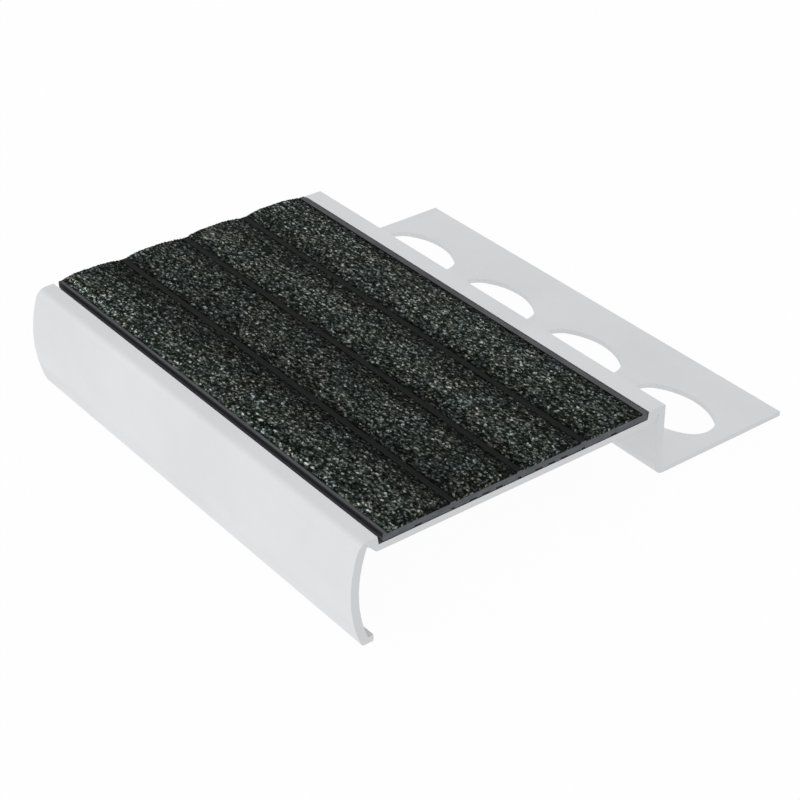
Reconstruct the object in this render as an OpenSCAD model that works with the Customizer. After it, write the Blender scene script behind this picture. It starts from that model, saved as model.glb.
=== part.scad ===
// Stair nosing: an extruded aluminium step edge with a punched fixing leg,
// and an anti-slip insert of four abrasive strips on a ribbed carrier.
// The section is drawn with the insert seat's front floor corner at zero.

/* [Length] */
// Length of the piece
length = 100; // [50:5:400]

/* [Insert seat] */
// Width of the seat floor between its two rims
seat_w = 57.3; // [45:0.1:80]
// Height of the two rims above the seat floor
rim_h = 1.55; // [1.2:0.05:2.5]
// Lean of each rim's inner side, away from the seat
rim_lean = 0.25; // [0:0.05:0.5]
// Thickness of the tray under the insert
tray_t = 1.25; // [0.8:0.05:1.5]

/* [Front nosing] */
// Radius of the bowed front face
face_r = 26; // [23:0.5:32]
// How far the front face bows out in front of the seat
face_reach = 5.55; // [5:0.05:7]
// Height of the front face's foremost line below the seat floor
face_drop = 8.45; // [7:0.05:10]
// Thickness of the front wall
face_t = 1.6; // [1.2:0.05:2]
// Radius of the shoulder between the front face and its top flat
shoulder_r = 2.5; // [1.5:0.1:3]
// Depth of the lip's underside below the seat floor
lip_drop = 18.7; // [17:0.1:20]
// Thickness of the lip
lip_t = 1.25; // [0.8:0.05:1.6]
// Clearance from the lip's tip to the seat's front corner, measured across
lip_back = 1.15; // [0.6:0.05:1.6]
// Radius under the lip's outer corner
lip_r = 0.8; // [0.6:0.1:1.6]

/* [Rear wall and leg] */
// Distance from the seat floor's rear corner to the wall's rear face
rear_rim_w = 4.15; // [3.6:0.05:6]
// Thickness of the wall
wall_t = 1.5; // [1:0.1:2]
// Radius of the rim's top rear edge
rim_r = 0.3; // [0.2:0.1:1]
// Depth of the leg's underside below the seat floor
leg_drop = 12.85; // [9:0.05:15]
// Thickness of the leg
leg_t = 1; // [0.8:0.05:1.5]
// How far the leg runs back from the wall's rear face
leg_reach = 29.85; // [24:0.05:50]
// Radius of the bend between the wall and the leg, on the outside
bend_r = 2.2; // [1.2:0.1:3]
// Radius of the rounded edges at the leg's end and the lip's tip
edge_r = 0.15; // [0.1:0.05:0.45]

/* [Fixing holes] */
// Spacing of the oval holes
hole_pitch = 24.8; // [22:0.2:50]
// Length of one oval hole
hole_l = 19; // [16:0.2:21.6]
// Width of one oval hole
hole_w = 12; // [11:0.2:16]
// Radius of the oval's ends
hole_end_r = 4.5; // [4:0.1:5.6]
// Distance of the holes' centres behind the wall's rear face
hole_back = 14.85; // [11:0.05:18]

/* [Insert] */
// Gap between the seat's front corner and the carrier
front_gap = 0.8; // [0.1:0.05:1]
// Gap between the carrier and the seat's rear corner
rear_gap = 0.15; // [0.05:0.05:1]
// Width of the land in front of the strips
front_land_w = 0.75; // [0.4:0.05:2]
// Width of the land behind the strips
rear_land_w = 1.15; // [0.4:0.05:2]
// Thickness of the carrier under the abrasive
carrier_t = 1.38; // [1:0.02:2]
// Height of the carrier's ribs above its plate
rib_h = 0.28; // [0.1:0.02:0.6]
// Width of the ribs between the strips
rib_w = 1.15; // [0.8:0.05:1.6]
// Rise of a strip's crown above the ribs
crown_h = 0.64; // [0.3:0.02:1.5]
// Width of the glue grooves under the carrier
groove_w = 1.6; // [0.8:0.1:2]
// Width of the narrow grooves under the ribs
rib_groove_w = 0.7; // [0.4:0.1:1]
// Depth of all grooves under the carrier
groove_h = 0.45; // [0.2:0.05:0.6]
// Spacing of the three glue grooves under each middle strip
groove_pitch = 2.75; // [2.2:0.05:3.5]

/* [Hidden] */
$fn = 180;

// Overshoot for cutting shapes, and the reach of a round's wedge past the round
over = 1;
wedge_reach = 0.2;

// Front face: centre of its arc, and of the rounds that blend it into the top flat and the lip
face_c = [face_r - face_reach, -face_drop];
function blend_c(r, z) = [face_c.x - sqrt(pow(face_r - r, 2) - pow(z - face_c.y, 2)), z];
shoulder_c = blend_c(shoulder_r, rim_h - shoulder_r);
lip_c = blend_c(lip_r, lip_r - lip_drop);

// Rear wall and leg
wall_rear = seat_w + rear_rim_w;
wall_front = wall_rear - wall_t;
leg_rear = wall_rear + leg_reach;
leg_top = leg_t - leg_drop;

// The tray's underside ends in webs that slant up at 45 degrees to a notch below each rim
front_web = 1.6;
rear_web = 1.5;
web_r = 0.8;
tray_front = -0.4;
tray_rear = wall_front - rear_web;
slant = [1, -1] / sqrt(2);
web_shift = web_r * (sqrt(2) - 1);

// Oval hole: the flat side arcs run into the end arcs almost without a corner
side_dip = 0.02;
hole_a = hole_l / 2 - hole_end_r;
hole_b = hole_w / 2 + side_dip;
hole_side_r = (pow(hole_a, 2) + pow(hole_b, 2) - pow(hole_end_r, 2)) / (2 * (hole_b - hole_end_r));
hole_side_c = hole_side_r - hole_w / 2;
hole_join_x = hole_a * hole_side_r / (hole_side_r - hole_end_r);
hole_count = floor(length / hole_pitch);

// Insert: the carrier fills the seat between the gaps, and four strips share it between the lands
strip_places = [-1.5, -0.5, 0.5, 1.5];
rib_places = [-1, 0, 1];
carrier_w = seat_w - front_gap - rear_gap;
strips_w = carrier_w - front_land_w - rear_land_w;
strip_w = (strips_w - len(rib_places) * rib_w) / len(strip_places);
strip_pitch = strip_w + rib_w;
strips_mid = front_gap + front_land_w + strips_w / 2;
rib_top = carrier_t + rib_h;
crown_r = (pow(strip_w / 2, 2) + pow(crown_h, 2)) / (2 * crown_h);
foot_chamfer = 0.35;

// The stored frame has its origin under the middle of the whole part
middle = (leg_rear - face_reach) / 2;

// Sweeps a section along the length and moves it to the stored frame
module swept() {
    translate([0, -middle, lip_drop])
        rotate([90, 0, 90])
            linear_extrude(length, center = true)
                children();
}

// What a round leaves over at a corner: the wedge between the directions a and b, less the round itself
module round_waste(c, r, a, b) {
    reach = r + wedge_reach;
    translate(c)
        difference() {
            polygon([[0, 0], a * reach, (a + b) * reach, b * reach]);
            circle(r);
        }
}

// Outer outline of the front: top flat, shoulder, bowed face and the rounded corner of the lip
module front_outline() {
    difference() {
        intersection() {
            translate(face_c)
                circle(face_r);
            translate([-face_reach - over, -lip_drop])
                square([face_reach + 2 * over, lip_drop + rim_h]);
        }
        round_waste(shoulder_c, shoulder_r, [0, 1], (shoulder_c - face_c) / (face_r - shoulder_r));
        round_waste(lip_c, lip_r, [0, -1], (lip_c - face_c) / (face_r - lip_r));
    }
}

// Outer outline of the whole extrusion, with its hollows still filled
module full_outline() {
    front_outline();
    difference() {
        translate([0, -lip_drop])
            square([wall_rear, lip_drop + rim_h]);
        round_waste([wall_rear - rim_r, rim_h - rim_r], rim_r, [1, 0], [0, 1]);
    }
    difference() {
        translate([wall_rear - over, -leg_drop])
            square([leg_reach + over, leg_t]);
        round_waste([leg_rear - edge_r, leg_top - edge_r], edge_r, [1, 0], [0, 1]);
        round_waste([leg_rear - edge_r, edge_r - leg_drop], edge_r, [1, 0], [0, -1]);
    }
}

// Space under the tray, open below, with a notch under each rim
module under_space() {
    intersection() {
        union() {
            translate(face_c)
                circle(face_r - face_t);
            translate([0, -lip_drop - over])
                square([wall_rear + over, lip_drop + over]);
        }
        polygon([
            [-face_reach, lip_t - lip_drop],
            [-lip_back, lip_t - lip_drop],
            [-lip_back, -lip_drop - over],
            [wall_rear + over, -lip_drop - over],
            [wall_rear + over, -leg_drop],
            [wall_front, -leg_drop],
            [wall_front, rear_web - tray_t],
            [tray_rear, -tray_t],
            [tray_front, -tray_t],
            [tray_front - front_web, front_web - tray_t],
            [-face_reach, front_web - tray_t]
        ]);
    }
    round_waste([wall_front + bend_r, bend_r - leg_drop], bend_r, [-1, 0], [0, -1]);
    round_waste([-lip_back - edge_r, edge_r - lip_drop], edge_r, [1, 0], [0, -1]);
    round_waste([tray_front + web_shift, web_r - tray_t], web_r, [0, -1], [-slant.x, slant.y]);
    round_waste([tray_rear - web_shift, web_r - tray_t], web_r, [0, -1], slant);
}

// Seat for the insert, open above
module insert_seat() {
    lean = rim_lean * (rim_h + over) / rim_h;
    polygon([
        [0, 0],
        [seat_w, 0],
        [seat_w + lean, rim_h + over],
        [-lean, rim_h + over]
    ]);
}

// One oval hole, long side along the length
module oval_hole() {
    for (side = [-1, 1])
        translate([side * hole_a, 0])
            circle(hole_end_r);
    intersection() {
        intersection_for (side = [-1, 1])
            translate([0, side * hole_side_c])
                circle(hole_side_r);
        square([2 * hole_join_x, hole_w], center = true);
    }
}

module nosing_profile() {
    color("gainsboro")
        difference() {
            swept()
                difference() {
                    full_outline();
                    insert_seat();
                    under_space();
                }
            for (i = [0 : hole_count - 1])
                translate([
                    (i - (hole_count - 1) / 2) * hole_pitch,
                    wall_rear + hole_back - middle,
                    lip_drop - leg_drop - over
                ])
                    linear_extrude(leg_t + 2 * over)
                        oval_hole();
        }
}

// One groove in the carrier's underside
module groove(y, w) {
    translate([y - w / 2, -over])
        square([w, over + groove_h]);
}

module insert_carrier() {
    color("dimgray")
        swept()
            difference() {
                translate([front_gap, 0])
                    polygon([
                        [foot_chamfer, 0],
                        [carrier_w - foot_chamfer, 0],
                        [carrier_w, foot_chamfer],
                        [carrier_w, rib_top],
                        [0, rib_top],
                        [0, foot_chamfer]
                    ]);
                for (i = strip_places)
                    translate([strips_mid + i * strip_pitch - strip_w / 2, carrier_t])
                        square([strip_w, rib_h + over]);
                for (i = strip_places)
                    groove(strips_mid + i * strip_pitch, groove_w);
                for (i = [strip_places[1], strip_places[2]], side = [-1, 1])
                    groove(strips_mid + i * strip_pitch + side * groove_pitch, groove_w);
                for (i = rib_places)
                    groove(strips_mid + i * strip_pitch, rib_groove_w);
            }
}

// One abrasive strip, counted from the front, bedded on the carrier's plate between its ribs
module grit_strip(i) {
    color("darkslategray")
        swept()
            translate([strips_mid + strip_places[i - 1] * strip_pitch, 0])
                intersection() {
                    translate([-strip_w / 2, carrier_t])
                        square([strip_w, rib_h + crown_h + over]);
                    translate([0, rib_top + crown_h - crown_r])
                        circle(crown_r);
                }
}

nosing_profile();
insert_carrier();
grit_strip(1);  // grit_strip_1
grit_strip(2);  // grit_strip_2
grit_strip(3);  // grit_strip_3
grit_strip(4);  // grit_strip_4
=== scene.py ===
import math
import bpy
import bmesh
import numpy as np
from mathutils import Matrix, Vector


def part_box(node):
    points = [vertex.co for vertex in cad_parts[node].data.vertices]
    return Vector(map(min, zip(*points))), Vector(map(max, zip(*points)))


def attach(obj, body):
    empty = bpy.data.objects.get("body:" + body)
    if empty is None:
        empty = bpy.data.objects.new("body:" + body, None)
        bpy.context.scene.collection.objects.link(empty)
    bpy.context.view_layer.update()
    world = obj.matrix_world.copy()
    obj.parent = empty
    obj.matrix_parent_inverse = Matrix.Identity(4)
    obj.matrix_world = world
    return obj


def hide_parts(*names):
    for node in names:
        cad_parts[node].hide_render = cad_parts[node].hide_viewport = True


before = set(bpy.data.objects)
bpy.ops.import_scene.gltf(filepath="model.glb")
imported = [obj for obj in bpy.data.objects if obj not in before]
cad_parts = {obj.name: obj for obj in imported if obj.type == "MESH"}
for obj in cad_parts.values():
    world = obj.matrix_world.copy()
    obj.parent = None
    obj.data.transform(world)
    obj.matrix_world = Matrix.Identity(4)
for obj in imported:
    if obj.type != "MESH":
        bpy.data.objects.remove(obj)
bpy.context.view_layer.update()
mm = 0.001
hairline = 0.01 * mm             # allowance when points are looked for on a face
noiseSpan = (0.3, 0.7)           # nearly all values of a noise lie between these
print("frame loaded:", sorted(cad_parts))

# strips and ribs repeat across the carrier: their middle, their step and half a rib, from the solids
stripNumbers = (1, 2, 3, 4)
stripBoxes = [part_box("grit_strip_%d" % number) for number in stripNumbers]
firstStrip, secondStrip, lastStrip = stripBoxes[0], stripBoxes[1], stripBoxes[-1]
stripsMiddle = (firstStrip[0][1] + lastStrip[1][1]) / 2
stripPitch = secondStrip[0][1] - firstStrip[0][1]
ribHalf = (secondStrip[0][1] - firstStrip[1][1]) / 2


# node helpers: every material below is wired with these
def setInputs(node, values):
    for name, value in values.items():
        node.inputs[name.replace("_", " ")].default_value = value


def addNode(tree, kind, **inputs):
    node = tree.nodes.new(kind)
    setInputs(node, inputs)
    return node


def link(tree, source, target):
    tree.links.new(source, target)


# a socket takes a plain value or a link
def feed(tree, socket, value):
    if isinstance(value, (int, float, tuple)):
        socket.default_value = value
    else:
        link(tree, value, socket)


def mathNode(tree, operation, *values):
    node = tree.nodes.new("ShaderNodeMath")
    node.operation = operation
    for socket, value in zip(node.inputs, values):
        feed(tree, socket, value)
    return node.outputs[0]


def product(tree, result, *factors):
    for factor in factors:
        result = mathNode(tree, "MULTIPLY", result, factor)
    return result


def mixColor(tree, factor, a, b):
    node = tree.nodes.new("ShaderNodeMix")
    node.data_type = "RGBA"
    factorSocket, aSocket, bSocket = node.inputs[0], node.inputs[6], node.inputs[7]
    for socket, value in ((factorSocket, factor), (aSocket, a), (bSocket, b)):
        feed(tree, socket, value)
    return node.outputs[2]


def mixShader(tree, factor, a, b):
    node = tree.nodes.new("ShaderNodeMixShader")
    for socket, source in zip(node.inputs, (factor, a, b)):
        link(tree, source, socket)
    return node.outputs[0]


def remap(tree, value, fromMin, fromMax, toMin, toMax):
    node = tree.nodes.new("ShaderNodeMapRange")
    for socket, number in zip(node.inputs[1:5], (fromMin, fromMax, toMin, toMax)):
        socket.default_value = number
    link(tree, value, node.inputs[0])
    return node.outputs[0]


def rampNode(tree, value, stopList, interpolation="LINEAR"):
    node = tree.nodes.new("ShaderNodeValToRGB")
    node.color_ramp.interpolation = interpolation
    stops = node.color_ramp.elements
    for number, (place, tone) in enumerate(stopList):
        stop = stops[number] if number < 2 else stops.new(place)  # a new ramp has two stops
        shade = tone if isinstance(tone, tuple) else (tone, tone, tone)
        stop.position = place
        stop.color = (*shade, 1)
    link(tree, value, node.inputs[0])
    return node.outputs[0]


def objectCoords(tree):
    return tree.nodes.new("ShaderNodeTexCoord").outputs["Object"]


def trueNormal(tree):
    return tree.nodes.new("ShaderNodeNewGeometry").outputs["True Normal"]


def splitVector(tree, vector):
    node = tree.nodes.new("ShaderNodeSeparateXYZ")
    link(tree, vector, node.inputs[0])
    return node.outputs[:]


def joinVector(tree, *parts):
    node = tree.nodes.new("ShaderNodeCombineXYZ")
    for socket, part in zip(node.inputs, parts):
        link(tree, part, socket)
    return node.outputs[0]


def noiseNode(tree, vector, detail, rough):
    noise = addNode(tree, "ShaderNodeTexNoise", Scale=1.0, Detail=detail, Roughness=rough)
    link(tree, vector, noise.inputs["Vector"])
    return noise.outputs["Fac"]


# scale is in noise cells per metre along x, y and z
def stretchedNoise(tree, coords, scale, detail, rough=0.55):
    mapping = addNode(tree, "ShaderNodeMapping", Scale=scale)
    link(tree, coords, mapping.inputs["Vector"])
    return noiseNode(tree, mapping.outputs[0], detail, rough)


# a noise with its span of values spread over the range that it gives
def pattern(tree, coords, values):
    noise = stretchedNoise(tree, coords, values["scale"], values["detail"])
    return remap(tree, noise, *values["span"], *values["gives"])


def newGroup(name, inputs, outputs, outputKind="NodeSocketFloat"):
    group = bpy.data.node_groups.new(name, "ShaderNodeTree")
    for title in inputs:
        group.interface.new_socket(name=title, in_out="INPUT", socket_type="NodeSocketFloat")
    for title in outputs:
        group.interface.new_socket(name=title, in_out="OUTPUT", socket_type=outputKind)
    return group, group.nodes.new("NodeGroupInput"), group.nodes.new("NodeGroupOutput")


def placeGroup(tree, group, **inputs):
    node = tree.nodes.new("ShaderNodeGroup")
    node.node_tree = group
    setInputs(node, inputs)
    return node


def newMaterial(name):
    material = bpy.data.materials.new(name)
    material.use_nodes = True
    tree = material.node_tree
    tree.nodes.clear()
    output = tree.nodes.new("ShaderNodeOutputMaterial")
    shader = tree.nodes.new("ShaderNodeBsdfPrincipled")
    link(tree, shader.outputs[0], output.inputs[0])
    return material, tree, shader


# heights are in metres, so the bump's own distance is one
def addBump(tree, shader, height, strength=1.0):
    bump = addNode(tree, "ShaderNodeBump", Strength=strength, Distance=1.0)
    link(tree, height, bump.inputs["Height"])
    link(tree, bump.outputs[0], shader.inputs["Normal"])


# traces of the die and of the saw, shared by the materials
traces = {
    "alongLine": 14.0,           # noise cells per metre along a drawn line
    "alongArc": 60.0,            # and along the arcs that the blade leaves
    "detail": 2.0,
    "rough": 0.6,
    "cloudDetail": 3.0,
    "cloudRough": 0.5,
    "cutTurn": 0.9,              # a face whose normal runs this much along the length is a cut
    "bladeRadius": 120 * mm,
}


# faint lines left along the length by the die, and slow cloudy change over the surface
def makeDrawnLines():
    group, inside, out = newGroup("drawnLines", ("Line Width", "Cloud Size"), ("Lines", "Clouds"))
    coords = objectCoords(group)
    x, y, z = splitVector(group, coords)
    across = mathNode(group, "DIVIDE", 1.0, inside.outputs["Line Width"])
    stretched = joinVector(
        group, product(group, x, traces["alongLine"]), product(group, y, across), product(group, z, across))
    lines = noiseNode(group, stretched, traces["detail"], traces["rough"])
    link(group, lines, out.inputs["Lines"])
    clouds = addNode(
        group, "ShaderNodeTexNoise", Detail=traces["cloudDetail"], Roughness=traces["cloudRough"])
    link(group, coords, clouds.inputs["Vector"])
    link(group, mathNode(group, "DIVIDE", 1.0, inside.outputs["Cloud Size"]), clouds.inputs["Scale"])
    link(group, clouds.outputs["Fac"], out.inputs["Clouds"])
    return group


# the two ends are saw cuts: a mask for faces turned that way, and the blade's arcs across them
def makeSawnEnds():
    group, inside, out = newGroup("sawnEnds", ("Blade Radius", "Tooth Step"), ("Cut", "Arcs"))
    facing = mathNode(group, "ABSOLUTE", splitVector(group, trueNormal(group))[0])
    link(group, mathNode(group, "GREATER_THAN", facing, traces["cutTurn"]), out.inputs["Cut"])
    y, z = splitVector(group, objectCoords(group))[1:]
    up = mathNode(group, "ADD", z, inside.outputs["Blade Radius"])
    reach = mathNode(group, "SQRT", mathNode(group, "ADD", product(group, y, y), product(group, up, up)))
    teeth = mathNode(group, "DIVIDE", reach, inside.outputs["Tooth Step"])
    bent = joinVector(group, teeth, product(group, y, traces["alongArc"]))
    link(group, noiseNode(group, bent, traces["detail"], traces["rough"]), out.inputs["Arcs"])
    return group


drawnLines = makeDrawnLines()
sawnEnds = makeSawnEnds()


# both groups in one material, with the widths from its own dictionary
def placeTraces(tree, values):
    drawn = placeGroup(tree, drawnLines, Line_Width=values["lineWidth"], Cloud_Size=values["cloudSize"])
    sawn = placeGroup(
        tree, sawnEnds, Blade_Radius=traces["bladeRadius"], Tooth_Step=values["toothStep"])
    return drawn.outputs["Lines"], drawn.outputs["Clouds"], sawn.outputs["Cut"], sawn.outputs["Arcs"]


# aluminium profile: satin and pale; a little darker on its inner sides and on the upright sides of its leg
# and holes
# as painted shade, with painted shade in the seat gap, and on the sawn ends partly their own tone and
# partly painted shade
profile = {
    "face": (0.80, 0.81, 0.82, 1),
    "cloud": (0.77, 0.78, 0.795, 1),
    # the sawn ends' own tone, darkened further as painted shade
    "cutFaceAndShade": (0.655, 0.661, 0.672, 1),
    # painted shade for the inner sides and the leg's upright sides
    "inner": (0.69, 0.70, 0.71, 1),
    # painted shade for the narrow gap of the seat
    "seatShade": (0.09, 0.092, 0.095, 1),
    "rough": (0.52, 0.62),
    "lineWidth": 0.12 * mm,
    "lineDepth": 0.002 * mm,
    "cloudSize": 14 * mm,
    "toothStep": 0.3 * mm,
    "sawDepth": 0.006 * mm,
    "innerTurn": -0.3,           # sides turned towards the middle by more than this are inner ones
    "uprightTurn": 0.5,          # faces that look up or down by less than this are upright
    "shadeTop": 0.5 * mm,         # the painted shade in the seat ends this far under the carrier's top
    "shadeUnder": 0.02 * mm,      # and starts this far under the carrier
    "seatMargin": 1.0 * mm,      # and reaches this far beyond the carrier's sides
    "legStart": 6 * mm,          # the leg is clear of the wall this far behind the carrier
}


def makeAluminium():
    material, tree, shader = newMaterial("satinAluminium")
    lines, clouds, cut, arcs = placeTraces(tree, profile)
    notCut = mathNode(tree, "SUBTRACT", 1.0, cut)
    low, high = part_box("insert_carrier")
    x, y, z = splitVector(tree, objectCoords(tree))
    normalY, normalZ = splitVector(tree, trueNormal(tree))[1:]
    tone = mixColor(tree, remap(tree, clouds, *noiseSpan, 0, 1), profile["face"], profile["cloud"])
    # painted shade on the inner sides (the shade under the tray), and on the upright sides of the leg and
    # its holes
    outward = product(tree, normalY, mathNode(tree, "SIGN", y))
    inner = mathNode(tree, "LESS_THAN", outward, profile["innerTurn"])
    upright = mathNode(tree, "LESS_THAN", mathNode(tree, "ABSOLUTE", normalZ), profile["uprightTurn"])
    onLeg = mathNode(tree, "GREATER_THAN", y, high[1] + profile["legStart"])
    inner = mathNode(tree, "MAXIMUM", inner, product(tree, upright, onLeg))
    tone = mixColor(tree, inner, tone, profile["inner"])
    # the sawn ends take that tone: partly the cut's own colour, partly painted shade
    onEnd = mathNode(tree, "GREATER_THAN", mathNode(tree, "ABSOLUTE", x), high[0] - hairline)
    tone = mixColor(tree, product(tree, cut, onEnd), tone, profile["cutFaceAndShade"])
    # painted shade in the seat, under and beside the carrier, as a dark colour without metal
    fromMiddle = mathNode(tree, "SUBTRACT", y, (low[1] + high[1]) / 2)
    seatHalf = (high[1] - low[1]) / 2 + profile["seatMargin"]
    inSeat = mathNode(tree, "LESS_THAN", mathNode(tree, "ABSOLUTE", fromMiddle), seatHalf)
    aboveFloor = mathNode(tree, "GREATER_THAN", z, low[2] - profile["shadeUnder"])
    belowRim = mathNode(tree, "LESS_THAN", z, high[2] - profile["shadeTop"])
    darkLow = product(tree, inSeat, aboveFloor, belowRim, notCut)
    link(tree, mixColor(tree, darkLow, tone, profile["seatShade"]), shader.inputs["Base Color"])
    link(tree, remap(tree, lines, *noiseSpan, *profile["rough"]), shader.inputs["Roughness"])
    link(tree, mathNode(tree, "SUBTRACT", 1.0, darkLow), shader.inputs["Metallic"])
    lineHeight = product(tree, lines, profile["lineDepth"])
    sawHeight = product(tree, arcs, profile["sawDepth"], cut)
    addBump(tree, shader, mathNode(tree, "ADD", sawHeight, lineHeight))
    return material


# insert carrier: charcoal plastic, its ribs stained dark by the resin beside them, with painted shade on
# its sides
carrier = {
    "land": (0.070, 0.075, 0.080, 1),
    "landPale": (0.097, 0.102, 0.107, 1),
    "sawn": (0.088, 0.097, 0.104, 1),
    "sawnPale": (0.115, 0.125, 0.132, 1),
    "ribStain": (0.0078, 0.0097, 0.0085, 1),
    # painted shade for the sides seen in the narrow gaps, lighter near the seat
    "side": (0.028, 0.030, 0.031, 1),
    "sideLow": (0.175, 0.181, 0.186, 1),
    "rough": (0.45, 0.62),
    "specular": 0.06,
    "lineWidth": 0.2 * mm,
    "cloudSize": 6 * mm,
    "toothStep": 0.25 * mm,
    "grainDepth": 0.006 * mm,
    "sideTurn": 0.9,             # faces that look forward or back by more than this are sides
    "sideFade": (1.1 * mm, 0.5 * mm),  # heights over the seat between which the sides' painted shade grows paler
    "ribReach": 0.1 * mm,        # the stain runs this far past a rib's edges
    "landReach": 0.13 * mm,      # and this far onto the rear land
    "frontEdge": 0.2 * mm,       # the front land's outer edge takes the sides' painted shade
    "patches": {"scale": (400, 400, 900), "detail": 2.0, "span": (0.35, 0.65), "gives": (0, 1)},
    # a dark line along the bottom of the sawn ends, reaching heights between these
    "lowLine": {"scale": (0, 260, 0), "detail": 2.0, "span": (0.4, 0.6), "gives": (0.1 * mm, 0.22 * mm)},
}


def makeCarrier():
    material, tree, shader = newMaterial("charcoalPlastic")
    lines, clouds, cut, arcs = placeTraces(tree, carrier)
    notCut = mathNode(tree, "SUBTRACT", 1.0, cut)
    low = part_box("insert_carrier")[0]
    coords = objectCoords(tree)
    y, z = splitVector(tree, coords)[1:]
    above = mathNode(tree, "SUBTRACT", z, low[2])
    tone = mixColor(tree, remap(tree, clouds, *noiseSpan, 0, 1), carrier["land"], carrier["landPale"])
    patches = pattern(tree, coords, carrier["patches"])
    tone = mixColor(tree, cut, tone, mixColor(tree, patches, carrier["sawn"], carrier["sawnPale"]))
    # painted shade on the sides and on the front land's outer edge, paler towards the seat
    normalY = splitVector(tree, trueNormal(tree))[1]
    onSide = mathNode(tree, "GREATER_THAN", mathNode(tree, "ABSOLUTE", normalY), carrier["sideTurn"])
    onEdge = mathNode(tree, "LESS_THAN", y, low[1] + carrier["frontEdge"])
    onSide = mathNode(tree, "MAXIMUM", onSide, product(tree, onEdge, notCut))
    paler = remap(tree, above, *carrier["sideFade"], 0, 1)
    tone = mixColor(tree, onSide, tone, mixColor(tree, paler, carrier["side"], carrier["sideLow"]))
    # resin on the three ribs and the rear land's inner edge, and a dark line along the bottom of the sawn
    # ends
    across = mathNode(tree, "ABSOLUTE", mathNode(tree, "SUBTRACT", y, stripsMiddle))
    nearest = mathNode(tree, "PINGPONG", across, stripPitch / 2)
    onRib = mathNode(tree, "LESS_THAN", nearest, ribHalf + carrier["ribReach"])
    outerStrip = (len(stripNumbers) - 1) / 2 * stripPitch
    betweenStrips = mathNode(tree, "LESS_THAN", across, outerStrip)
    pastStrip = mathNode(tree, "SUBTRACT", y, lastStrip[1][1])
    onLand = mathNode(tree, "COMPARE", pastStrip, 0.0, carrier["landReach"])
    stained = mathNode(tree, "MAXIMUM", product(tree, onRib, betweenStrips), onLand)
    darkLow = mathNode(tree, "LESS_THAN", above, pattern(tree, coords, carrier["lowLine"]))
    dark = mathNode(tree, "MAXIMUM", product(tree, stained, notCut), product(tree, darkLow, cut))
    # the rib stain's colour also draws the dark line along the bottom of the sawn ends
    link(tree, mixColor(tree, dark, tone, carrier["ribStain"]), shader.inputs["Base Color"])
    link(tree, remap(tree, lines, *noiseSpan, *carrier["rough"]), shader.inputs["Roughness"])
    shader.inputs["Specular IOR Level"].default_value = carrier["specular"]
    height = mathNode(tree, "ADD", lines, arcs)
    addBump(tree, shader, product(tree, height, carrier["grainDepth"]))
    return material


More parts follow.
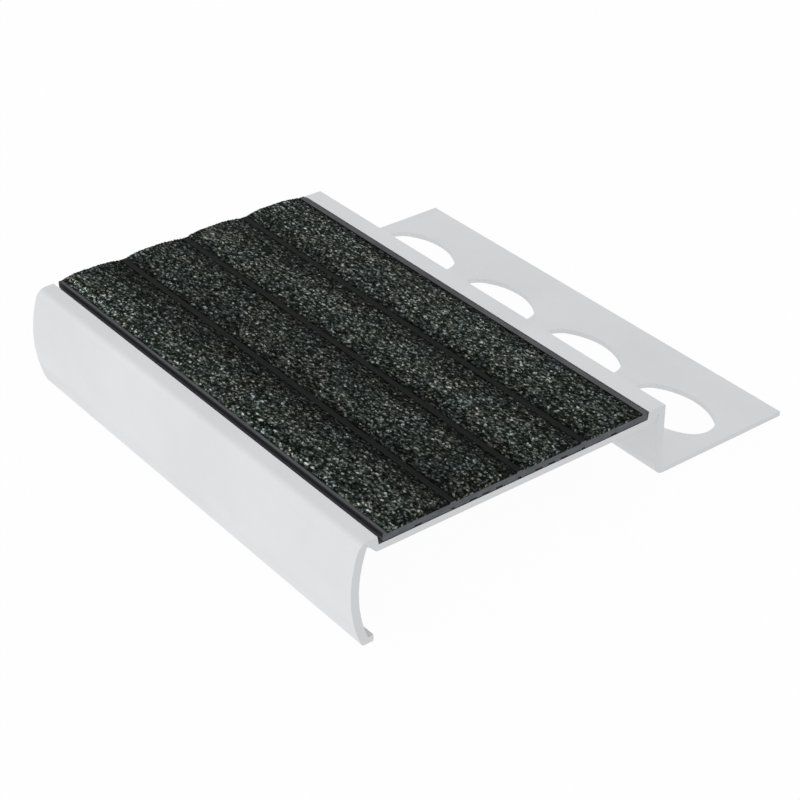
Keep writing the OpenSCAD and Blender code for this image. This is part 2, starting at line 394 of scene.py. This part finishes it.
# abrasive strips: sharp mineral grains standing half out of a dark resin bed
grit = {
    "seed": 41,
    # two layers of grains
    "coarse": {"spacing": 0.66 * mm, "half": (0.30 * mm, 0.48 * mm), "rise": (0.0, 0.09 * mm)},
    "fine": {"spacing": 0.80 * mm, "half": (0.14 * mm, 0.22 * mm), "rise": (0.02 * mm, 0.09 * mm)},
    "drawn": 1.35,               # grains lie a little longer along the piece
    "rowStep": 0.866,            # rows of a hexagon grid are closer than its columns
    "shake": 0.35,               # grains leave their grid places by up to this share of a step
    "inset": 0.1 * mm,           # the last grains' centres from the sawn ends
    "lean": 0.18,                # spread of the grains' tilt in radians
    # broken shapes
    "shapes": 28,
    "pointsPerGrain": 9,
    "pointReach": (0.75, 1.0),
    "breadth": (0.65, 0.9),
    "thickness": (0.35, 0.5),
    # how far the fill stands over the solid's arc, from its front edge to its rear one
    "fuller": (
        (0.0, 0.08 * mm), (0.1, 0.16 * mm), (0.25, 0.14 * mm), (0.4, 0.1 * mm),
        (0.55, 0.06 * mm), (0.75, 0.03 * mm), (1.0, 0.0),
    ),
    # the bed under the grains
    "sunk": 0.1 * mm,            # it lies this far under the fill's top
    "bedLeast": 0.1 * mm,        # and is at least this thick, before bedRough
    "bedStep": 0.7 * mm,
    "bedRough": 0.04 * mm,
    # stone
    "tones": (                   # dark greenish stone to pale neutral chips
        (0.0, (0.0022, 0.0047, 0.0029)), (0.2, (0.0041, 0.0071, 0.0050)),
        (0.32, (0.0134, 0.0169, 0.0146)), (0.42, (0.0302, 0.0342, 0.0320)),
        (0.5, (0.0618, 0.067, 0.0635)), (0.6, (0.117, 0.122, 0.118)),
        (0.7, (0.190, 0.195, 0.192)), (0.82, (0.33, 0.33, 0.33)), (1.0, (0.55, 0.55, 0.55)),
    ),
    "cool": (0.885, 1.0, 0.98, 1),
    "warm": (0.975, 1.0, 0.905, 1),
    "grainShare": 0.45,          # how much of a tone the whole grain has, speckle adds the rest
    "speckle": {"scale": (900, 1950, 1950), "detail": 2.5, "span": (0.32, 0.68), "gives": (0, 0.55)},
    "tint": {"scale": (150, 150, 150), "detail": 2.0, "span": (0.4, 0.6), "gives": (0, 1)},
    "clouds": {"scale": (14, 420, 0), "detail": 2.0, "span": (0.35, 0.65), "gives": (0.9, 1.5)},
    "clumps": {"scale": (450, 900, 900), "detail": 1.0, "span": (0.35, 0.65), "gives": (0.76, 1.24)},
    # painted shade over one strip from front to rear, darkest in the valleys by the ribs and on the rear
    # slope, and the level of each strip
    "acrossStripShade": (
        (0.0, 0.1), (0.045, 0.2), (0.06, 0.36), (0.075, 0.55), (0.1, 0.67), (0.25, 0.86), (0.4, 1.0),
        (0.84, 0.95), (0.89, 0.76), (0.93, 0.57), (0.97, 0.12),
    ),
    "stripLevel": ((0.0, 0.82), (0.25, 0.74), (0.5, 1.0), (0.75, 0.98)),
    # painted shade darkens each strip from here to its rear, behind a wavering line
    "shadeFrom": ((0.0, 0.58), (0.25, 0.74), (0.5, 0.61), (0.75, 0.80)),
    "shadeFade": 0.07,           # over this share of a strip it grows to its full shade
    "shadeLevel": 0.6,
    "waver": {"scale": (60, 60, 0), "detail": 2.0, "span": noiseSpan, "gives": (-0.05, 0.05)},
    # the first strip's front edge is worn pale, fading over this reach
    "wornFront": (
        (0.0, 1.0), (0.16, 1.0), (0.22, 0.53), (0.38, 0.45), (0.54, 0.4), (0.77, 0.38), (1.0, 0.333),
    ),
    "wornReach": 6.5 * mm,
    "wornGain": 3.0,
    # painted shade on the grit near the sawn ends, fading out between these distances from the ends, deeper
    # to the rear of a strip
    "endShadeReach": (0.05 * mm, 0.5 * mm),
    "endShadeAcross": (0.25, 0.55),
    "endShadeLevel": (0.25, 0.5),
    # surfaces of a grain and of the bed
    "grain": {
        "scale": (5200, 5200, 5200), "detail": 2.0, "rough": (0.35, 0.6), "depth": 0.02 * mm, "bump": 0.6,
    },
    "bed": {
        "scale": (1800, 1800, 1800), "detail": 3.0, "rough": (0.35, 0.7), "depth": 0.05 * mm, "bump": 0.8,
    },
    "specular": 0.02,
    "resinPick": 0.1,            # the bed is as dark as the darker grains
    "slices": 1700.0,            # grains cut through at the sawn ends, per metre
    "sliceReach": 0.46,          # their radius as a share of a cell
}


# colour of the mineral: a grey picked per grain, tinted and varied in streaks, with painted shade in the
# valleys by the ribs, towards the rear of each strip and near the sawn ends, and worn pale along the front
# edge
def makeMineralTone():
    group, inside, out = newGroup("mineralTone", ("Pick",), ("Color",), "NodeSocketColor")
    coords = objectCoords(group)
    x, y = splitVector(group, coords)[:2]
    ownTone = product(group, inside.outputs["Pick"], grit["grainShare"])
    speckle = pattern(group, coords, grit["speckle"])
    stone = rampNode(group, mathNode(group, "ADD", ownTone, speckle), grit["tones"])
    hue = mixColor(group, pattern(group, coords, grit["tint"]), grit["cool"], grit["warm"])
    across = mathNode(group, "SUBTRACT", y, firstStrip[0][1] - ribHalf)
    inStrip = mathNode(group, "FRACT", mathNode(group, "DIVIDE", across, stripPitch))
    whichStrip = mathNode(group, "DIVIDE", across, len(stripNumbers) * stripPitch)
    stripLevel = rampNode(group, whichStrip, grit["stripLevel"], "CONSTANT")
    # painted shade on the rear of each strip, behind a wavering line
    shadeFrom = rampNode(group, whichStrip, grit["shadeFrom"], "CONSTANT")
    wavering = mathNode(group, "ADD", inStrip, pattern(group, coords, grit["waver"]))
    behind = mathNode(group, "SUBTRACT", wavering, shadeFrom)
    rearShade = remap(group, behind, 0.0, grit["shadeFade"], 1.0, grit["shadeLevel"])
    fromFront = mathNode(group, "SUBTRACT", across, ribHalf)
    worn = rampNode(group, mathNode(group, "DIVIDE", fromFront, grit["wornReach"]), grit["wornFront"])
    # painted shade on the grit near the sawn ends
    fromEnd = mathNode(group, "SUBTRACT", firstStrip[1][0], mathNode(group, "ABSOLUTE", x))
    nearEnd = remap(group, fromEnd, *grit["endShadeReach"], 1.0, 0.0)
    endShade = product(group, nearEnd, remap(group, inStrip, *grit["endShadeAcross"], *grit["endShadeLevel"]))
    # the level carries the painted shade across each strip
    level = product(
        group,
        pattern(group, coords, grit["clouds"]),
        pattern(group, coords, grit["clumps"]),
        rampNode(group, inStrip, grit["acrossStripShade"]),
        stripLevel, rearShade, worn, grit["wornGain"],
        mathNode(group, "SUBTRACT", 1.0, endShade),
    )
    tinted = group.nodes.new("ShaderNodeVectorMath")
    tinted.operation = "MULTIPLY"
    link(group, stone, tinted.inputs[0])
    link(group, hue, tinted.inputs[1])
    shaded = group.nodes.new("ShaderNodeVectorMath")
    shaded.operation = "SCALE"
    link(group, tinted.outputs[0], shaded.inputs[0])
    link(group, level, shaded.inputs["Scale"])
    link(group, shaded.outputs[0], out.inputs["Color"])
    return group


mineralTone = makeMineralTone()


# what grains and bed share: the mineral's colour and a rough surface
def finishGrit(tree, shader, pick, surface):
    tone = placeGroup(tree, mineralTone)
    link(tree, pick, tone.inputs["Pick"])
    link(tree, tone.outputs["Color"], shader.inputs["Base Color"])
    noise = stretchedNoise(tree, objectCoords(tree), surface["scale"], surface["detail"])
    link(tree, remap(tree, noise, *noiseSpan, *surface["rough"]), shader.inputs["Roughness"])
    shader.inputs["Specular IOR Level"].default_value = grit["specular"]
    addBump(tree, shader, product(tree, noise, surface["depth"]), surface["bump"])


def makeGrain():
    material, tree, shader = newMaterial("mineralGrain")
    pick = tree.nodes.new("ShaderNodeNewGeometry").outputs["Random Per Island"]
    finishGrit(tree, shader, pick, grit["grain"])
    return material


# at the sawn ends the bed shows grains that were cut through
def makeResin():
    material, tree, shader = newMaterial("darkResin")
    cut = placeGroup(tree, sawnEnds).outputs["Cut"]
    cells = addNode(tree, "ShaderNodeTexVoronoi", Scale=grit["slices"], Randomness=1.0)
    link(tree, objectCoords(tree), cells.inputs["Vector"])
    cell = tree.nodes.new("ShaderNodeSeparateColor")
    link(tree, cells.outputs["Color"], cell.inputs[0])
    core = mathNode(tree, "LESS_THAN", cells.outputs["Distance"], grit["sliceReach"])
    sliced = product(tree, core, cut, cell.outputs[0])
    finishGrit(tree, shader, mathNode(tree, "MAXIMUM", sliced, grit["resinPick"]), grit["bed"])
    return material


# a few sharp broken shapes, each the hull of points scattered near a flattened ball
def makeGrainShapes(rng):
    shapes = []
    for number in range(grit["shapes"]):
        points = rng.normal(size=(grit["pointsPerGrain"], 3))
        points /= np.linalg.norm(points, axis=1)[:, None]
        reach = rng.uniform(*grit["pointReach"], size=(len(points), 1))
        breadth = rng.uniform(*grit["breadth"])
        thickness = rng.uniform(*grit["thickness"])
        points *= reach * np.array([1.0, breadth, thickness])
        work = bmesh.new()
        for point in points:
            work.verts.new(point)
        bmesh.ops.convex_hull(work, input=work.verts[:])
        loose = [vert for vert in work.verts if not vert.link_faces]
        bmesh.ops.delete(work, geom=loose, context="VERTS")
        bmesh.ops.triangulate(work, faces=work.faces[:])
        work.verts.index_update()
        verts = np.array([vert.co[:] for vert in work.verts])
        faces = np.array([[vert.index for vert in face.verts] for face in work.faces])
        work.free()
        shapes.append((verts, faces))
    return shapes


def stackRows(*rows):
    return np.stack([np.stack(row, -1) for row in rows], 1)


# grains lie on their broad side: any turn about the upright axis, then a small tilt
def turnMatrices(rng, count):
    spin = rng.uniform(0, 2 * np.pi, count)
    lean = rng.normal(0, grit["lean"], count)
    way = rng.uniform(0, 2 * np.pi, count)
    zero, one = np.zeros(count), np.ones(count)
    c, s = np.cos(spin), np.sin(spin)
    turned = stackRows((c, -s, zero), (s, c, zero), (zero, zero, one))
    ax, ay = np.cos(way), np.sin(way)
    cl, sl = np.cos(lean), np.sin(lean)
    tilted = stackRows(
        (cl + ax * ax * (1 - cl), ax * ay * (1 - cl), ay * sl),
        (ax * ay * (1 - cl), cl + ay * ay * (1 - cl), -ax * sl),
        (-ay * sl, ax * sl, cl),
    )
    return np.einsum("nij,njk->nik", tilted, turned)


# the dome of one strip, read back from its solid: its box, half its width and the arc's radius
class Dome:
    def __init__(self, node):
        self.low, self.high = (np.array(corner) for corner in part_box(node))
        self.length = self.high[0] - self.low[0]
        self.middle = (self.low[1] + self.high[1]) / 2
        self.half = (self.high[1] - self.low[1]) / 2
        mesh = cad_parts[node].data
        points = np.empty(len(mesh.vertices) * 3)
        mesh.vertices.foreach_get("co", points)
        points = points.reshape(-1, 3)
        frontEdge = points[np.abs(points[:, 1] - self.low[1]) < hairline]
        rise = self.high[2] - frontEdge[:, 2].max()
        self.radius = (self.half ** 2 + rise ** 2) / (2 * rise)

    # the fill stands a little fuller than the arc, most on its front side, but no higher than the crown
    def top(self, y):
        arc = self.high[2] - self.radius + np.sqrt(self.radius ** 2 - (y - self.middle) ** 2)
        places, heights = zip(*grit["fuller"])
        fuller = np.interp((y - self.low[1]) / (2 * self.half), places, heights)
        return np.minimum(arc + fuller, self.high[2])


def meshFromArrays(name, verts, faces):
    mesh = bpy.data.meshes.new(name)
    mesh.from_pydata(verts.tolist(), [], faces.tolist())
    mesh.validate()
    mesh.update()
    piece = bpy.data.objects.new(name, mesh)
    bpy.context.scene.collection.objects.link(piece)
    return piece


# a closed block with a rough top that follows the dome
def makeBed(dome, rng):
    xs = np.linspace(dome.low[0], dome.high[0], int(dome.length / grit["bedStep"]) + 1)
    ys = np.linspace(dome.low[1], dome.high[1], int(2 * dome.half / grit["bedStep"]) + 1)
    grid = np.array([(x, y) for x in xs for y in ys])
    z = np.maximum(dome.top(grid[:, 1]) - grit["sunk"], dome.low[2] + grit["bedLeast"])
    z = z + rng.uniform(-1, 1, len(z)) * grit["bedRough"]
    topVerts = np.column_stack([grid, z])
    baseVerts = np.column_stack([grid, np.full(len(grid), dome.low[2])])
    below = len(grid)
    index = np.arange(below).reshape(len(xs), len(ys))
    corners = (index[:-1, :-1], index[1:, :-1], index[1:, 1:], index[:-1, 1:])
    topFaces = np.column_stack([corner.ravel() for corner in corners])
    baseFaces = topFaces[:, ::-1] + below
    ring = np.concatenate([index[:, 0], index[-1, 1:], index[-2::-1, -1], index[0, -2:0:-1]])
    after = np.roll(ring, -1)
    sideFaces = np.column_stack([ring, ring + below, after + below, after])
    return np.concatenate([topVerts, baseVerts]), np.concatenate([topFaces, baseFaces, sideFaces])


# one layer of grains on a shaken hexagon grid, each bent over the dome and let down into the bed
def makeGrains(dome, rng, shapes, layer):
    step = layer["spacing"]
    rows = int(2 * dome.half / (step * grit["rowStep"]))
    cols = int(dome.length / (step * grit["drawn"])) + 1
    row, col = (part.ravel() for part in np.meshgrid(np.arange(rows), np.arange(cols), indexing="ij"))
    shakeX = rng.uniform(-grit["shake"], grit["shake"], len(col))
    shakeY = rng.uniform(-grit["shake"], grit["shake"], len(row))
    x = dome.low[0] + (col - 0.5 * (row % 2) + shakeX) * step * grit["drawn"]
    x = np.clip(x, dome.low[0] + grit["inset"], dome.high[0] - grit["inset"])
    y = dome.low[1] + (row + 0.5) * 2 * dome.half / rows + shakeY * step
    half = rng.uniform(*layer["half"], len(x))
    rise = rng.uniform(*layer["rise"], len(x))
    turns = turnMatrices(rng, len(x))
    kind = rng.integers(0, len(shapes), len(x))
    allVerts, allFaces, offset = [], [], 0
    for number, (verts, faces) in enumerate(shapes):
        who = np.nonzero(kind == number)[0]
        moved = np.einsum("nij,vj->nvi", turns[who], verts) * half[who][:, None, None]
        moved[..., 0] = grit["drawn"] * moved[..., 0] + x[who][:, None]
        moved[..., 1] = np.clip(moved[..., 1] + y[who][:, None], dome.low[1], dome.high[1])
        moved[..., 2] += dome.top(moved[..., 1]) + (rise[who] - moved[..., 2].max(axis=1))[:, None]
        moved = np.clip(moved, dome.low, dome.high)  # within the solid's box
        allVerts.append(moved.reshape(-1, 3))
        starts = offset + np.arange(len(who)) * len(verts)
        allFaces.append((faces[None] + starts[:, None, None]).reshape(-1, 3))
        offset += len(who) * len(verts)
    return np.concatenate(allVerts), np.concatenate(allFaces)


def makeStrip(number, shapes, grainMaterial, resinMaterial):
    node = "grit_strip_%d" % number
    rng = np.random.default_rng(grit["seed"] + number)
    dome = Dome(node)
    bedVerts, bedFaces = makeBed(dome, rng)
    bed = meshFromArrays("abrasive_bed_%d" % number, bedVerts, bedFaces)
    bed.data.materials.append(resinMaterial)
    coarseVerts, coarseFaces = makeGrains(dome, rng, shapes, grit["coarse"])
    fineVerts, fineFaces = makeGrains(dome, rng, shapes, grit["fine"])
    grainVerts = np.concatenate([coarseVerts, fineVerts])
    grainFaces = np.concatenate([coarseFaces, fineFaces + len(coarseVerts)])
    grains = meshFromArrays("abrasive_grains_%d" % number, grainVerts, grainFaces)
    grains.data.materials.append(grainMaterial)
    for piece in (bed, grains):
        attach(piece, "root")
    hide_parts(node)
    print("strip", number, "grains", len(grainFaces), "triangles")


# profile and carrier keep their solids, with finishes of their own
def dressSolids():
    for node, material in (("nosing_profile", makeAluminium()), ("insert_carrier", makeCarrier())):
        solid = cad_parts[node]
        solid.data.materials.clear()
        solid.data.materials.append(material)


dressSolids()
print("profile and carrier dressed")
grainShapes = makeGrainShapes(np.random.default_rng(grit["seed"]))
grainMaterial = makeGrain()
resinMaterial = makeResin()
for number in stripNumbers:
    makeStrip(number, grainShapes, grainMaterial, resinMaterial)


# pale floor under a plain sky that greys towards the top, and two soft panels in front
studio = {
    "floorSize": 6.0,
    "floorColor": (0.95, 0.95, 0.95, 1),
    "floorRough": 0.9,
    "floorDrop": 0.02 * mm,      # clear of the lip that stands on it
    "floorGlow": 0.95,           # share of plain white in what the camera sees of the floor
    "horizon": 1.0,
    "zenith": 0.72,
    "panels": (                  # place and size in metres, and power in watts
        ((0.75, -0.75, 0.85), 0.8, 2.2),
        ((-0.8, -0.75, 0.75), 0.8, 0.68),
    ),
}


# the floor hides nothing from below
def makeFloor():
    half = studio["floorSize"] / 2
    outline = ((-half, -half), (half, -half), (half, half), (-half, half))
    corners = np.array([(x, y, -studio["floorDrop"]) for x, y in outline])
    floor = meshFromArrays("studioFloor", corners, np.array([[0, 1, 2, 3]]))
    material, tree, shader = newMaterial("paleFloor")
    shader.inputs["Base Color"].default_value = studio["floorColor"]
    shader.inputs["Roughness"].default_value = studio["floorRough"]
    shader.inputs["Specular IOR Level"].default_value = 0.0
    white = addNode(tree, "ShaderNodeEmission", Strength=1.0)
    path = tree.nodes.new("ShaderNodeLightPath")
    seen = product(tree, path.outputs["Is Camera Ray"], studio["floorGlow"])
    seen = mathNode(tree, "MAXIMUM", seen, path.outputs["Is Glossy Ray"])
    seen = mathNode(tree, "MAXIMUM", seen, path.outputs["Is Transmission Ray"])
    fromAbove = mixShader(tree, seen, shader.outputs[0], white.outputs[0])
    isBelow = tree.nodes.new("ShaderNodeNewGeometry").outputs["Backfacing"]
    clear = tree.nodes.new("ShaderNodeBsdfTransparent")
    surface = mixShader(tree, isBelow, fromAbove, clear.outputs[0])
    link(tree, surface, tree.nodes["Material Output"].inputs[0])
    floor.data.materials.append(material)


def makeStudio():
    scene = bpy.context.scene
    scene.view_settings.view_transform = "Standard"
    world = bpy.data.worlds.new("studioWorld")
    world.use_nodes = True
    tree = world.node_tree
    upward = splitVector(tree, tree.nodes.new("ShaderNodeTexCoord").outputs["Generated"])[2]
    sky = tree.nodes["Background"]
    sky.inputs[0].default_value = (1, 1, 1, 1)
    link(tree, remap(tree, upward, 0, 1, studio["horizon"], studio["zenith"]), sky.inputs[1])
    scene.world = world
    makeFloor()
    for number, (place, size, power) in enumerate(studio["panels"]):
        lamp = bpy.data.lights.new("panel%d" % number, "AREA")
        lamp.size = size
        lamp.energy = power
        holder = bpy.data.objects.new("panel%d" % number, lamp)
        holder.location = place
        holder.rotation_euler = (-Vector(place)).to_track_quat("-Z", "Y").to_euler()
        scene.collection.objects.link(holder)


# the view: turned and raised from the front, at the distance worked out from the picture's edges
view = {
    "place": (257.255 * mm, -199.192 * mm, 213.616 * mm),
    "azimuth": 52.244,
    "elevation": 32.937,
    "lens": 93.708,
    "sensor": 36.0,
    "clipStart": 0.01,
}


def makeCamera():
    camera = bpy.data.cameras.new("viewCamera")
    camera.lens = view["lens"]
    camera.sensor_width = view["sensor"]
    camera.clip_start = view["clipStart"]
    holder = bpy.data.objects.new("viewCamera", camera)
    turn = Matrix.Rotation(math.radians(view["azimuth"]), 4, "Z")
    tip = Matrix.Rotation(math.radians(90 - view["elevation"]), 4, "X")
    holder.matrix_world = Matrix.Translation(view["place"]) @ turn @ tip
    bpy.context.scene.collection.objects.link(holder)
    bpy.context.scene.camera = holder


makeStudio()
makeCamera()
print("studio and camera ready")
